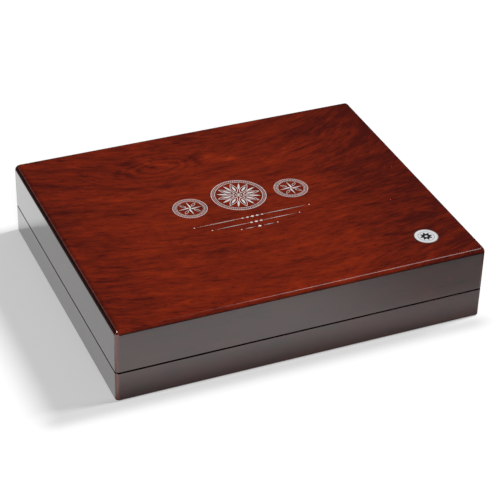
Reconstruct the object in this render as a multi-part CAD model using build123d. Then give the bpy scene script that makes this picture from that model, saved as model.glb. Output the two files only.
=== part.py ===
from build123d import *
import math
import os

# A lacquered mahogany coin case with a hinged lid and three lift-out trays.
# Millimetres. X runs along the front, Y from front to back and Z up.
# The origin is the middle of the underside, on the surface that the case stands on.

# Wooden shell
case_length = 305.0
case_depth = 250.0
base_height = 24.7
lid_wall_height = 30.3
lid_top_thickness = 8.0
wall_thickness = 12.0
seam_gap = 1.0
corner_radius = 3.0
top_edge_radius = 5.0
arris_radius = 0.4

# Underside
felt_thickness = 0.8
felt_inset = 4.0
bottom_panel_thickness = 5.0
rabbet_width = 6.0
panel_clearance = 0.2

# Velour linings of the base and the lid
floor_lining_thickness = 1.0
liner_thickness = 3.0
lip_thickness = 1.6
lip_height = 8.5
lip_round = 0.5
lid_lining_thickness = 0.8
lid_lining_setback = 0.8

# Padded satin panel inside the lid
lid_pad_thickness = 9.0
lid_pad_clearance = 1.0
lid_pad_round = 4.0

# Trays
tray_count = 3
tray_height = 13.0
tray_clearance = 0.75
tray_rim_thickness = 4.0
tray_floor_thickness = 2.0
tray_insert_thickness = 9.0
insert_clearance = 0.2
recess_diameter = 44.0
recess_round = 0.7
least_recess_web = 6.0
tray_rim_round = 0.6

# Ribbons that lift a tray
ribbon_width = 6.0
ribbon_thickness = 0.8
ribbon_reach = 38.0
ribbon_clearance = 0.15

# Hinges
opening_angle = 100.0
hinge_from_end = 57.5
hinge_length = 38.0
hinge_knuckles = 5
knuckle_gap = 0.2
groove_depth = 2.8
barrel_radius = 2.0
barrel_clearance = 0.4
pin_radius = 0.8
pin_fit = 0.03
pin_hold = 0.01
leaf_thickness = 1.2
leaf_margin = 1.0
leaf_corner = 1.5
mortise_clearance = 0.1

# Countersunk wood screws of the hinges
screw_spacing = 24.0
screw_head_radius = 2.2
screw_shank_radius = 1.0
screw_shank_length = 8.0
screw_tip_length = 1.5
screw_tip_radius = 0.25
screw_slot_width = 0.5
screw_slot_depth = 0.4
head_clearance = 0.05
pilot_clearance = 0.02
pilot_extra_depth = 0.3

# Magnets that hold the lid shut
magnet_radius = 4.0
magnet_thickness = 3.0
magnet_from_end = 92.5
magnet_clearance = 0.05
magnet_gap = 0.1

# Metal badge on the lid
badge_radius = 9.7
badge_thickness = 0.8
badge_recess_depth = 0.4
badge_clearance = 0.05
badge_rim_width = 0.8
badge_dish_depth = 0.15
badge_from_right = 36.9
badge_from_front = 30.5

# Heights that follow
base_bottom = felt_thickness
base_rim = base_bottom + base_height
lid_rim = base_rim + seam_gap
lid_underside = lid_rim + lid_wall_height
lid_top = lid_underside + lid_top_thickness
floor_top = base_bottom + bottom_panel_thickness + floor_lining_thickness

# Plan sizes that follow, as length and depth
outer = (case_length, case_depth)


def inset(plan, margin):
    """A plan size drawn in by a margin on every side."""
    return (plan[0] - 2 * margin, plan[1] - 2 * margin)


inner = inset(outer, wall_thickness)
tray_plan = inset(inner, liner_thickness + tray_clearance)
insert_plan = inset(tray_plan, tray_rim_thickness + insert_clearance)

# The hinge line and what is measured from it
hinge_y = case_depth / 2 - groove_depth
hinge_z = base_rim + seam_gap / 2
barrel_room = barrel_radius + barrel_clearance
leaf_reach = wall_thickness - groove_depth - leaf_margin
screw_y = hinge_y - (barrel_room + leaf_reach) / 2
hinge_x = case_length / 2 - hinge_from_end
hinge_places = {"left": -hinge_x, "right": hinge_x}
BASE_SIDE = -1
LID_SIDE = 1

# How far a cutting tool runs past the face that it cuts, and how near counts as the same place
OVERCUT = 1.0
NEAR = 0.01
ON_FLOOR = (Align.CENTER, Align.CENTER, Align.MIN)


def slab(plan, bottom, top):
    """A centred block of a plan size between two heights."""
    return Pos(0, 0, bottom) * Box(*plan, top - bottom, align=ON_FLOOR)


def disc(radius, bottom, top, x=0.0, y=0.0):
    """An upright cylinder between two heights."""
    return Pos(x, y, bottom) * Cylinder(radius, top - bottom, align=ON_FLOOR)


def rod(radius, length, x):
    """A cylinder along the hinge line, centred at x."""
    return Pos(x, hinge_y, hinge_z) * Rot(0, 90, 0) * Cylinder(radius, length)


def block(x_range, y_range, z_range):
    """A block between its lowest and highest corner."""
    low = [min(span) for span in (x_range, y_range, z_range)]
    size = [abs(span[1] - span[0]) for span in (x_range, y_range, z_range)]
    return Pos(*low) * Box(*size, align=(Align.MIN, Align.MIN, Align.MIN))


def flat_edges(shape, height):
    """The edges of a block that lie in one horizontal plane."""
    return [edge for edge in shape.edges() if abs(edge.center().Z - height) < NEAR]


def mitre_quarter(side, bottom, top):
    """The part of the plan that one mitred board takes, with 45 degree ends."""
    half_x = case_length / 2
    half_y = case_depth / 2
    depth = min(half_x, half_y) - OVERCUT
    corners = {
        "front": [(-1, -1), (1, -1)],
        "right": [(1, -1), (1, 1)],
        "back": [(1, 1), (-1, 1)],
        "left": [(-1, 1), (-1, -1)],
    }
    first, second = corners[side]
    out = [(x * (half_x + OVERCUT), y * (half_y + OVERCUT)) for x, y in (first, second)]
    back_in = [(x * (half_x - depth), y * (half_y - depth)) for x, y in (second, first)]
    face = make_face(Polyline(*out, *back_in, close=True))
    return extrude(Pos(0, 0, bottom - OVERCUT) * face, amount=top - bottom + 2 * OVERCUT)


def mitred(ring, bottom, top):
    """A rectangular frame cut at its corners into four boards, by side."""
    sides = ("front", "back", "left", "right")
    return {side: ring & mitre_quarter(side, bottom, top) for side in sides}


def ring(outside, inside, bottom, top):
    """A rectangular frame between two heights."""
    return slab(outside, bottom, top) - slab(inside, bottom, top)


def several(solids):
    """Separate solids that share one file."""
    return Compound(children=list(solids))


# Hinges


def back_bevel(rim, side):
    """The wedge taken off a rim along the back, where the halves meet when the lid is open."""
    reach = groove_depth + OVERCUT
    drop = side * reach * math.tan(math.radians(opening_angle / 2))
    start = -case_length / 2 - OVERCUT
    outline = Polyline(
        (start, hinge_y, rim),
        (start, hinge_y + reach, rim),
        (start, hinge_y + reach, rim + drop),
        close=True,
    )
    return extrude(make_face(outline), amount=case_length + 2 * OVERCUT, dir=(1, 0, 0))


def leaf_plate(middle, side, margin):
    """The flat of a hinge leaf, or with a margin the mortise that takes it."""
    length = hinge_length - knuckle_gap + 2 * margin
    near = hinge_z + side * seam_gap / 2
    far = near + side * leaf_thickness
    front = hinge_y - leaf_reach - margin
    x_range = (middle - length / 2, middle + length / 2)
    plate = block(x_range, (front, hinge_y), (near, far))
    upright = plate.edges().filter_by(Axis.Z)
    corners = [edge for edge in upright if edge.center().Y < front + NEAR]
    return fillet(corners, leaf_corner)


def knuckle_middles(middle, first):
    """The middles of every other knuckle, counted from the first or second."""
    pitch = hinge_length / hinge_knuckles
    start = middle - hinge_length / 2 + pitch / 2
    return [start + pitch * i for i in range(first, hinge_knuckles, 2)]


def screw_places(middle):
    """Where a leaf's two screws go along the hinge line."""
    return (middle - screw_spacing / 2, middle + screw_spacing / 2)


def into_wood(side, x, distance):
    """A place below the base's rim, or above the lid's, with its Z axis into the wood."""
    turn = 180 if side == BASE_SIDE else 0
    surface = hinge_z + side * seam_gap / 2
    return Pos(x, screw_y, surface + side * distance) * Rot(turn, 0, 0)


def countersink(side, x, clearance):
    """The cone that a screw head fills, through the leaf's whole thickness."""
    head = Cone(
        screw_head_radius + clearance,
        screw_shank_radius + clearance,
        leaf_thickness,
        align=ON_FLOOR,
    )
    return into_wood(side, x, 0) * head


def hinge_leaf(middle, side):
    """A hinge leaf with its knuckles, countersunk for two screws."""
    own_first = 0 if side == BASE_SIDE else 1
    pitch = hinge_length / hinge_knuckles
    leaf = leaf_plate(middle, side, 0.0)
    for x in knuckle_middles(middle, 1 - own_first):
        leaf -= rod(barrel_room, pitch + knuckle_gap, x)
    for x in knuckle_middles(middle, own_first):
        leaf += rod(barrel_radius, pitch - knuckle_gap, x)
    fit = pin_hold if side == BASE_SIDE else pin_fit
    leaf -= rod(pin_radius + fit, hinge_length + 2 * OVERCUT, middle)
    for x in screw_places(middle):
        leaf -= countersink(side, x, head_clearance)
    return leaf


def hinge_screw(side, x):
    """A countersunk wood screw with a slotted head."""
    shank = Cylinder(screw_shank_radius, screw_shank_length, align=ON_FLOOR)
    tip = Cone(screw_shank_radius, screw_tip_radius, screw_tip_length, align=ON_FLOOR)
    slot = Box(4 * screw_head_radius, screw_slot_width, 2 * screw_slot_depth)
    screw = countersink(side, x, 0.0)
    screw += into_wood(side, x, leaf_thickness) * shank
    screw += into_wood(side, x, leaf_thickness + screw_shank_length) * tip
    return screw - into_wood(side, x, 0) * slot


def pilot_hole(side, x):
    """The hole in the wood for one screw."""
    length = screw_shank_length + screw_tip_length + pilot_extra_depth
    hole = Cylinder(screw_shank_radius + pilot_clearance, length, align=ON_FLOOR)
    return into_wood(side, x, leaf_thickness) * hole


def hinge_housings(wood, side):
    """Cuts the barrels' channels, the mortises and the screw holes into a wooden ring."""
    for middle in hinge_places.values():
        wood -= rod(barrel_room, hinge_length + 2 * barrel_clearance, middle)
        wood -= leaf_plate(middle, side, mortise_clearance)
        for x in screw_places(middle):
            wood -= pilot_hole(side, x)
    return wood


# Magnets


def magnets(rim, side, clearance, deeper):
    """The two magnets in a front rim, which all but meet in the seam, or their pockets."""
    meeting = hinge_z + side * magnet_gap / 2
    near = rim if deeper else meeting
    far = meeting + side * magnet_thickness
    y = -case_depth / 2 + wall_thickness / 2
    x = case_length / 2 - magnet_from_end
    radius = magnet_radius + clearance
    return [disc(radius, min(near, far), max(near, far), place, y) for place in (-x, x)]


def magnet_pockets(wood, rim, side):
    """Cuts the magnets' pockets into a wooden ring."""
    for pocket in magnets(rim, side, magnet_clearance, True):
        wood -= pocket
    return wood


# Base


def base_boards():
    """The base's four mitred boards, rabbeted for the bottom panel."""
    rabbet_top = base_bottom + bottom_panel_thickness
    wood = slab(outer, base_bottom, base_rim)
    wood = fillet(wood.edges().filter_by(Axis.Z), corner_radius)
    wood = fillet(flat_edges(wood, base_rim) + flat_edges(wood, base_bottom), arris_radius)
    wood -= slab(inner, base_bottom, base_rim)
    wood -= slab(inset(inner, -rabbet_width), base_bottom, rabbet_top)
    wood -= back_bevel(base_rim, BASE_SIDE)
    wood = hinge_housings(wood, BASE_SIDE)
    wood = magnet_pockets(wood, base_rim, BASE_SIDE)
    return mitred(wood, base_bottom, base_rim)


def base_bottom_panel():
    """The plywood bottom, glued into the boards' rabbet."""
    plan = inset(inner, panel_clearance - rabbet_width)
    return slab(plan, base_bottom, base_bottom + bottom_panel_thickness)


def base_felt():
    """The felt that the case stands on."""
    felt = slab(inset(outer, felt_inset), 0.0, felt_thickness)
    return fillet(felt.edges().filter_by(Axis.Z), corner_radius)


def base_floor_lining():
    """Velour-covered card on the bottom panel."""
    return slab(inner, floor_top - floor_lining_thickness, floor_top)


def base_liners():
    """Velour-covered side liners, with a thinner lip that stands up into the lid."""
    lip_top = base_rim + lip_height
    inside = inset(inner, liner_thickness)
    lip = ring(inset(inside, -lip_thickness), inside, base_rim, lip_top)
    lip = fillet(flat_edges(lip, lip_top), lip_round)
    liner = ring(inner, inside, floor_top, base_rim) + lip
    return mitred(liner, floor_top, lip_top)


# Trays


def recess_grid():
    """The number of recesses each way, and the webs that part them evenly."""
    counts = []
    webs = []
    for length in insert_plan:
        count = int((length - least_recess_web) // (recess_diameter + least_recess_web))
        counts.append(count)
        webs.append((length - count * recess_diameter) / (count + 1))
    return counts, webs


def row_places(count, web):
    """Where the recesses' middles lie along one direction."""
    pitch = recess_diameter + web
    return [(i - (count - 1) / 2) * pitch for i in range(count)]


def ribbon_y():
    """The web between two rows that is nearest the middle, where the ribbons lie."""
    counts, webs = recess_grid()
    rows = counts[1]
    return (rows // 2 - rows / 2) * (recess_diameter + webs[1])


def ribbon_slots(bottom, top):
    """The notches in the insert's ends that the ribbons come up through."""
    depth = ribbon_thickness + ribbon_clearance
    half = ribbon_width / 2 + ribbon_clearance
    edge = insert_plan[0] / 2
    y_range = (ribbon_y() - half, ribbon_y() + half)
    left = block((-edge - OVERCUT, -edge + depth), y_range, (bottom, top))
    right = block((edge - depth, edge + OVERCUT), y_range, (bottom, top))
    return left + right


def tray_rim(bottom):
    """Four mitred wooden strips round a tray."""
    top = bottom + tray_height
    strips = ring(tray_plan, inset(tray_plan, tray_rim_thickness), bottom, top)
    strips = fillet(flat_edges(strips, top), tray_rim_round)
    return several(mitred(strips, bottom, top).values())


def tray_floor(bottom):
    """The board under a tray's insert."""
    plan = inset(tray_plan, tray_rim_thickness)
    return slab(plan, bottom, bottom + tray_floor_thickness)


def tray_insert(bottom):
    """A velour-covered plate with round recesses for coins in their capsules."""
    low = bottom + tray_floor_thickness
    high = low + tray_insert_thickness
    counts, webs = recess_grid()
    insert = slab(insert_plan, low, high)
    holes = []
    for x in row_places(counts[0], webs[0]):
        for y in row_places(counts[1], webs[1]):
            holes.append(disc(recess_diameter / 2, low - OVERCUT, high + OVERCUT, x, y))
    insert -= holes
    mouths = [edge for edge in flat_edges(insert, high) if edge.geom_type == GeomType.CIRCLE]
    return fillet(mouths, recess_round) - ribbon_slots(low, high)


def tray_ribbon(bottom, side):
    """A ribbon held between insert and rim, which lies folded over the insert."""
    low = bottom + tray_floor_thickness
    lying = low + tray_insert_thickness
    edge = side * insert_plan[0] / 2
    inner_face = edge - side * ribbon_thickness
    end = edge - side * ribbon_reach
    y_range = (ribbon_y() - ribbon_width / 2, ribbon_y() + ribbon_width / 2)
    upright = block((edge, inner_face), y_range, (low, lying + ribbon_thickness))
    folded = block((edge, end), y_range, (lying, lying + ribbon_thickness))
    return upright + folded


def tray(number):
    """The pieces of one tray, by name. Tray 1 is the lowest."""
    bottom = floor_top + (number - 1) * tray_height
    return {
        f"tray_{number}_rim": tray_rim(bottom),
        f"tray_{number}_floor": tray_floor(bottom),
        f"tray_{number}_insert": tray_insert(bottom),
        f"tray_{number}_ribbons": several([tray_ribbon(bottom, -1), tray_ribbon(bottom, 1)]),
    }


# Lid


def lid_boards():
    """The lid's four mitred boards, below its top panel."""
    wood = slab(outer, lid_rim, lid_underside)
    wood = fillet(wood.edges().filter_by(Axis.Z), corner_radius)
    wood = fillet(flat_edges(wood, lid_rim), arris_radius)
    wood -= slab(inner, lid_rim, lid_underside)
    wood -= back_bevel(lid_rim, LID_SIDE)
    wood = hinge_housings(wood, LID_SIDE)
    wood = magnet_pockets(wood, lid_rim, LID_SIDE)
    return mitred(wood, lid_rim, lid_underside)


def badge_place():
    """The middle of the badge on the lid, near its front right corner."""
    return (case_length / 2 - badge_from_right, -case_depth / 2 + badge_from_front)


def lid_top_panel():
    """The lid's top, rounded along its edges and corners, with the badge's recess."""
    panel = slab(outer, lid_underside, lid_top)
    panel = fillet(panel.edges().filter_by(Axis.Z), corner_radius)
    panel = fillet(flat_edges(panel, lid_top), top_edge_radius)
    recess_floor = lid_top - badge_recess_depth
    radius = badge_radius + badge_clearance
    return panel - disc(radius, recess_floor, lid_top + OVERCUT, *badge_place())


def lid_badge():
    """A round metal badge with a raised rim, let into the lid."""
    low = lid_top - badge_recess_depth
    high = low + badge_thickness
    x, y = badge_place()
    dish = disc(badge_radius - badge_rim_width, high - badge_dish_depth, high + OVERCUT, x, y)
    return disc(badge_radius, low, high, x, y) - dish


def lid_linings():
    """Thin velour-covered card on the inside of the lid's boards."""
    low = lid_rim + lid_lining_setback
    inside = inset(inner, lid_lining_thickness)
    return mitred(ring(inner, inside, low, lid_underside), low, lid_underside)


def lid_pad():
    """The padded satin panel under the lid's top."""
    low = lid_underside - lid_pad_thickness
    pad = slab(inset(inner, lid_lining_thickness + lid_pad_clearance), low, lid_underside)
    edges = [edge for edge in pad.edges() if edge.center().Z < lid_underside - NEAR]
    return fillet(edges, lid_pad_round)


def hinge(name):
    """The pieces of one hinge, by name."""
    middle = hinge_places[name]
    pieces = {f"{name}_hinge_pin": rod(pin_radius, hinge_length, middle)}
    for half, side in (("base", BASE_SIDE), ("lid", LID_SIDE)):
        screws = [hinge_screw(side, x) for x in screw_places(middle)]
        pieces[f"{name}_hinge_{half}_leaf"] = hinge_leaf(middle, side)
        pieces[f"{name}_hinge_{half}_screws"] = several(screws)
    return pieces


def all_pieces():
    """Every piece of the case, by name."""
    pieces = {
        "base_bottom_panel": base_bottom_panel(),
        "base_felt": base_felt(),
        "base_floor_lining": base_floor_lining(),
        "base_magnets": several(magnets(base_rim, BASE_SIDE, 0.0, False)),
        "lid_top_panel": lid_top_panel(),
        "lid_badge": lid_badge(),
        "lid_pad": lid_pad(),
        "lid_magnets": several(magnets(lid_rim, LID_SIDE, 0.0, False)),
    }
    for kind, boards in (
        ("base_{}_board", base_boards()),
        ("base_{}_liner", base_liners()),
        ("lid_{}_board", lid_boards()),
        ("lid_{}_lining", lid_linings()),
    ):
        for side, board in boards.items():
            pieces[kind.format(side)] = board
    for number in range(1, tray_count + 1):
        pieces.update(tray(number))
    for name in hinge_places:
        pieces.update(hinge(name))
    return pieces


os.makedirs("parts", exist_ok=True)
for name, piece in all_pieces().items():
    export_step(piece, f"parts/{name}.step")
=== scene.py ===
"""Looks of the coin case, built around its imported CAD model."""

import math

import bmesh
import bpy
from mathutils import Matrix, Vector


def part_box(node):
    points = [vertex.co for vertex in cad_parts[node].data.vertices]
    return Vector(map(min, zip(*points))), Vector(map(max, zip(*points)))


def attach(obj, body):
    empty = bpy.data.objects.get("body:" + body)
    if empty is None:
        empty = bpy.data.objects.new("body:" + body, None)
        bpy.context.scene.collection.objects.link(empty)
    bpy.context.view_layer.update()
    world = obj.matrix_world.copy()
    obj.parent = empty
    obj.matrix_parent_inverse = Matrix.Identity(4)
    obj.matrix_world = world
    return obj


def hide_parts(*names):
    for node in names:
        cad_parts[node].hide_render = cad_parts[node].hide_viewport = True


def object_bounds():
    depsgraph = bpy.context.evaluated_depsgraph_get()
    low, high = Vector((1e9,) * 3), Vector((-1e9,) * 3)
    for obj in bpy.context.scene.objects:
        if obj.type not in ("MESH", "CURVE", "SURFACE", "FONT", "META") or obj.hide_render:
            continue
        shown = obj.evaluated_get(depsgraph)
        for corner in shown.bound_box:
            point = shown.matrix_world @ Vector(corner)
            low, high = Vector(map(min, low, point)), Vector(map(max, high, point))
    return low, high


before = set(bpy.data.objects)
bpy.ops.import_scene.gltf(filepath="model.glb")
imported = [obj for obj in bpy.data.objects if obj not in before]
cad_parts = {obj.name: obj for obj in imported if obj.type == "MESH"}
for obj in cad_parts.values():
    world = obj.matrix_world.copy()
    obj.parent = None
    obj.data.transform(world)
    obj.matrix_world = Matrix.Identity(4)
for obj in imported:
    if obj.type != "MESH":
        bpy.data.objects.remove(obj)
CAD_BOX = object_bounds()

# Lengths and places are in millimetres along the frame's axes, angles in degrees.
MM = 0.001
CASE_HALF = tuple((CAD_BOX[1][axis] - CAD_BOX[0][axis]) / 2 / MM for axis in (0, 1))
SIDES = ("front", "back", "left", "right")

# Camera. It stands where the photograph's camera stood.
CAMERA_PLACE = (-482.6, -1101.0, 824.7)
CAMERA_TILT = 56.218
CAMERA_ROLL = -1.422
CAMERA_TURN = -23.036
CAMERA_LENS = 127.9
CAMERA_SENSOR = 36.0

# Light. Irradiances are shares of the light that shows a colour as it is written.
WHITE = (1.0, 1.0, 1.0)
KEY_TOWARDS = (0.92, 0.0, 1.0)
KEY_SHARE = 0.66
KEY_ANGLE = 16.0
FILL_TOWARDS = (-0.15, -0.85, 0.55)
FILL_SHARE = 0.14
FILL_ANGLE = 30.0
AMBIENT = 0.125
STUDIO_DARK = 0.014
# The world counts a ray that was reflected once as two deep.
FIRST_REFLECTION_DEPTH = 2.5
# Lights seen only as reflections: azimuth, elevation, half width, half height, softness, strength.
REFLECTED_LIGHTS = (
    (-42.0, 51.0, 16.0, 2.8, 2.0, 3.7),
    (126.0, 21.0, 9.0, 3.0, 3.0, 0.40),
    (-150.0, 42.0, 4.5, 4.5, 3.0, 60.0),
    (0.0, 47.0, 7.0, 7.0, 4.0, 1.2),
)

# Floor, and the painted shadow: a soft dark line along the front of the case
FLOOR_HALF = 1250.0
FLOOR_COLOUR = 0.76
FLOOR_SEEN_COLOUR = 0.72
FLOOR_CAMERA_GLOW = 0.385
FLOOR_GLOSSY_GLOW = 0.34
PAINTED_SHADOW_PLACE = -132.5
PAINTED_SHADOW_WIDTH = 8.0
PAINTED_SHADOW_DEPTH = 0.25
PAINTED_SHADOW_LEFT = (-222.0, -196.0)
PAINTED_SHADOW_RIGHT = (140.0, 168.0)
# The floor as reflections show it, with painted shade before the case and towards the right, and painted dark
# past limits round the case. A pair says where a change begins and ends.
FLOOR_LEFT_SIDE = (-165.0, -150.0)
FLOOR_FRONT_SIDE = (-125.0, -115.0)
FLOOR_RIGHT_REACH = (0.0, 160.0)
FLOOR_RIGHT_SHARE = 0.45
FLOOR_FAR_REACH = (-170.0, -132.0)
FLOOR_FRONT_SHARE = 0.99
FLOOR_FRONT_REACH = (-163.0, -118.0)
FLOOR_NEAR_SHARE = 0.20
MIRRORED_DARK_BEHIND = (165.0, 200.0)
MIRRORED_DARK_RIGHT = (155.0, 185.0)
MIRRORED_DARK_RIGHT_SHIFT = 45.0
MIRRORED_DARK_LEFT = (-210.0, -188.0)
MIRRORED_DARK_LEFT_FROM = (-70.0, -45.0)
MIRRORED_DARK_FRONT = (-212.0, -202.0)
MIRRORED_DARK_FRONT_FROM = (-150.0, -120.0)
MIRRORED_DARK_SHARE = 0.04

# Wood. A blot's size is its length along the grain and its width across it.
WOOD_COLOURS = (
    (0.0, (0.080, 0.0075, 0.0048)),
    (0.25, (0.142, 0.0128, 0.0050)),
    (0.5, (0.208, 0.0182, 0.0053)),
    (0.75, (0.268, 0.0240, 0.0060)),
    (1.0, (0.365, 0.0350, 0.0080)),
)
WOOD_MEAN = 0.5
LACQUER_LIFT = 0.03
WARP_SIZES = ((90.0, 45.0), (24.0, 9.0))
QUICK_WARP_SHARE = 0.36
BOARD_WARP = 14.0
PANEL_WARP = 8.0
WOOD_LAYERS = (((60.0, 22.0), 0.70), ((28.0, 8.0), 0.85), ((14.0, 3.6), 0.78))
FIBRE_SIZE = (6.5, 1.3)
FIBRE_WEIGHT = 0.54
PORE_SIZE = (7.0, 0.9)
PORE_LIMITS = (0.60, 0.72)
PORE_SHARE = 0.7
PORE_DIP = 0.5
PORE_COLOUR = (0.060, 0.0065, 0.005)
# Dark marks in the grain: size, detail and roughness of the noise, its limits, and weight.
GRAIN_MARKS = (
    ((34.0, 4.4), 3.0, 0.62, (0.58, 0.74), -0.30),
    ((11.0, 1.8), 2.0, 0.55, (0.56, 0.68), -0.21),
)

# Figure of the lid's panel. Its lines bow: BOW_DROP is how far the middle one drops within
# BOW_REACH, and those behind it drop more and more, up to BOW_BACK.
BOW_MIDDLE = 30.0
BOW_REACH = 100.0
BOW_DROP = 8.36
BOW_GROWTH = 0.0996
BOW_QUICKENING = 0.00171
BOW_BACK = 85.0
BOW_LEFT = (-70.0, 50.0)
BOW_LEFT_SHARE = 0.1
LEFT_END = (-165.0, -60.0)
LEFT_END_SHADE = -0.22
RIGHT_END = (40.0, 150.0)
RIGHT_END_SHADE = -0.42
KNOT_PLACE = (-45.0, 76.0)
KNOT_SIZE = (40.0, 16.0)
KNOT_HEIGHT = 16.0
# Rings: distance from the middle and width, as shares of their size, and weight.
KNOT_RING_SIZE = (30.0, 15.0)
KNOT_RINGS = (
    (0.33, 0.10, 0.12),
    (0.52, 0.10, -0.26),
    (0.70, 0.09, 0.12),
    (0.87, 0.09, -0.24),
    (1.18, 0.09, -0.16),
)
KNOT_WOBBLE_SIZE = (20.0, 12.0)
KNOT_WOBBLE = 0.5
KNOT_GROUND = 0.5
# Patches: place, size and weight. Streaks: both ends, width and weight.
WOOD_PATCHES = (
    ((-47.5, 79.0), (4.5, 2.4), -0.75),
    ((1.0, 79.0), (7.0, 5.0), 0.42),
    ((17.5, 69.0), (8.0, 5.0), 0.40),
    ((-9.0, 74.0), (2.5, 5.0), -0.25),
    ((-38.0, 80.0), (9.0, 4.0), 0.22),
    ((-125.0, 80.0), (22.0, 14.0), -0.15),
    ((5.0, 104.0), (70.0, 18.0), -0.28),
)
WOOD_STREAKS = (
    ((-98.0, 57.0), (-15.0, 42.0), 2.2, -0.30),
    ((-80.0, 88.0), (-52.0, 98.0), 2.0, -0.26),
)
STREAK_ENDS = 0.3
STREAK_GROUND = 0.4

# Painted shade that multiplies the wood's colour on the sides, on the panel's rounded edges and on the
# boards' rims in the seam, with the limits of the normal between which it sets in
SIDE_PAINTED_SHADE = (0.18, 0.34, 0.60)
SIDE_LIMITS = (0.985, 0.998)
CORNER_SIDE_SHARE = 0.5
RIGHT_CORNER_LIMITS = (0.0, 0.3)
PANEL_SIDE_LIMITS = (0.90, 0.985)
EDGE_PAINTED_SHADE = (0.30, 0.18, 0.26)
EDGE_LIMITS = (0.58, 0.84)
EDGE_END_LIMITS = (0.93, 0.99)
RIM_PAINTED_SHADE = (0.42, 0.55, 0.70)
RIM_LIMITS = (0.1, 0.4)
SEAM_PAINTED_SHADE = (0.07, 0.16, 0.24)
SEAM_SHADE_DEPTH = (2.6, 3.2)

# Wood of the trays and plywood
TRAY_STAIN = (0.62, 1.0, 1.4)
TRAY_WARP = 8.0
TRAY_PORE_LIMITS = (0.58, 0.70)
TRAY_PORE_SHARE = 0.8
TRAY_PORE_DIP = 0.8
PLY_FIGURE_SIZE = (50.0, 5.0)
PLY_FIBRE_SIZE = (12.0, 0.7)
PLY_FIGURE_SHARE = 0.6
PLY_COLOURS = (
    (0.25, (0.30, 0.17, 0.085)),
    (0.5, (0.43, 0.27, 0.145)),
    (0.75, (0.56, 0.39, 0.235)),
)
PLY_PAIR = 1.6
PLY_DARK = (0.20, 0.105, 0.050)
PLY_LIGHT = (0.50, 0.33, 0.19)
PLY_SOFTNESS = 0.3
PLY_EDGE_LIMITS = (0.3, 0.7)
PLY_CLOTH_LIMITS = (0.5, 0.8)
PLY_ROUGHNESS = 0.72

# Cloth. A scale is one over the size of the noise's blots.
VELOUR_DEEP = (0.006, 0.012, 0.045)
VELOUR_LIGHT = (0.022, 0.038, 0.120)
VELOUR_TINT = (0.30, 0.42, 0.95)
FELT_DEEP = (0.012, 0.012, 0.014)
FELT_LIGHT = (0.035, 0.035, 0.038)
FELT_TINT = (0.5, 0.5, 0.55)
PILE_ROUGHNESS = 0.95
NAP_SCALE = 0.045
BRUSHED_SIZE = (9.0, 3.5)
TUFT_SCALE = 4.2
# Nap, brushed strokes and tufts of a pile: limits of the noise and weight.
PILE_TONES = (((0.36, 0.64), 0.55), ((0.35, 0.65), 0.25), ((0.35, 0.65), 0.35))
PILE_SHADE = -0.10
SATIN_DARK = (0.78, 0.69, 0.54)
SATIN_LIGHT = (0.93, 0.88, 0.77)
SATIN_THREAD = 0.18
RIBBON_DARK = (0.60, 0.46, 0.22)
RIBBON_LIGHT = (0.82, 0.70, 0.42)
RIBBON_THREAD = 0.14
RIBBON_RIBS = 0.9
FLOAT_THREADS = 9
SLUB_THREADS = (60, 3)
THREAD_DEPTH_SCALE = 0.4
SOFT_SCALE = 0.06
# Weights of a satin's threads, soft clouds and slubs, and what they lack to a middle tone.
SATIN_WEIGHTS = (0.45, 0.35, 0.3)
SATIN_SHADE = -0.05
SATIN_TONES = (0.3, 0.72)
GATHER_SIZE = (38.0, 5.0)

# Metal and ink
BRASS = (0.80, 0.56, 0.22)
BRASS_DULL = (0.58, 0.38, 0.14)
NICKEL = (0.75, 0.75, 0.74)
NICKEL_DULL = (0.64, 0.635, 0.62)
TARNISH_SCALE = 0.35
TARNISH_LIMITS = (0.48, 0.75)
TARNISH_SHARE = 0.7
BRUSHING_SIZE = (6.0, 0.25)
BRUSHING_ROUGHNESS = 0.10
TARNISH_ROUGHNESS = 0.12
SILVER_DARK = (0.88, 0.89, 0.90)
SILVER_LIGHT = (0.97, 0.98, 0.99)
SILVER_CIRCLE_SCALE = 5.0
SILVER_CLOUD_SCALE = 0.3
SILVER_CIRCLE_SHARE = 0.4
# Painted shade round the badge's rim: its limits and colour
BADGE_RIM = (8.9, 9.3)
BADGE_RIM_PAINTED_SHADE = (0.30, 0.20, 0.19)
INK_SILVER = (0.88, 0.87, 0.86)
INK_SILVER_THIN = (0.70, 0.66, 0.65)
INK_DARK = (0.012, 0.012, 0.013)
INK_DARK_THIN = (0.030, 0.030, 0.031)
INK_COVER_SCALE = 1.4
INK_COVER_LIMITS = (0.42, 0.62)
INK_MESH_SCALE = 7.0

# Limits of a noise, and the roughness at each of them
TRAY_ROUGHNESS = (0.45, 0.70, 0.30, 0.48)
SATIN_ROUGHNESS = (0.3, 0.7, 0.34, 0.46)
SILVER_ROUGHNESS = (0.3, 0.7, 0.33, 0.42)
INK_MESH_LIMITS = (0.3, 0.7)

# Depth and strength of bumps
LACQUER_BUMP = (0.06, 0.35)
TRAY_BUMP = (0.08, 0.6)
PLY_BUMP = (0.08, 0.5)
PILE_BUMP = (0.16, 0.8)
WEAVE_BUMP = (0.06, 0.6)
GATHER_BUMP = (1.4, 0.8)
METAL_BUMP = (0.02, 0.35)
SILVER_BUMP = (0.02, 0.4)
INK_BUMP = (0.01, 0.3)

# Linings and pad
LINING_ROUND = 0.3
PAD_PUFF = 3.2
PAD_SIDE_GROWTH = 0.7
PAD_SIDE_ROOM = 0.3
PAD_GATHERS = 26.0
# Folds: length along an edge and depth.
PAD_FOLDS = ((8.7, 0.42), (12.9, 0.34), (23.3, 0.34))
PAD_BACK_EDGE = 3.0
PAD_COLUMNS, PAD_ROWS = 64, 52
PAD_EXTRA_CLOTH = 0.03
PAD_FRAMES = 20

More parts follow.
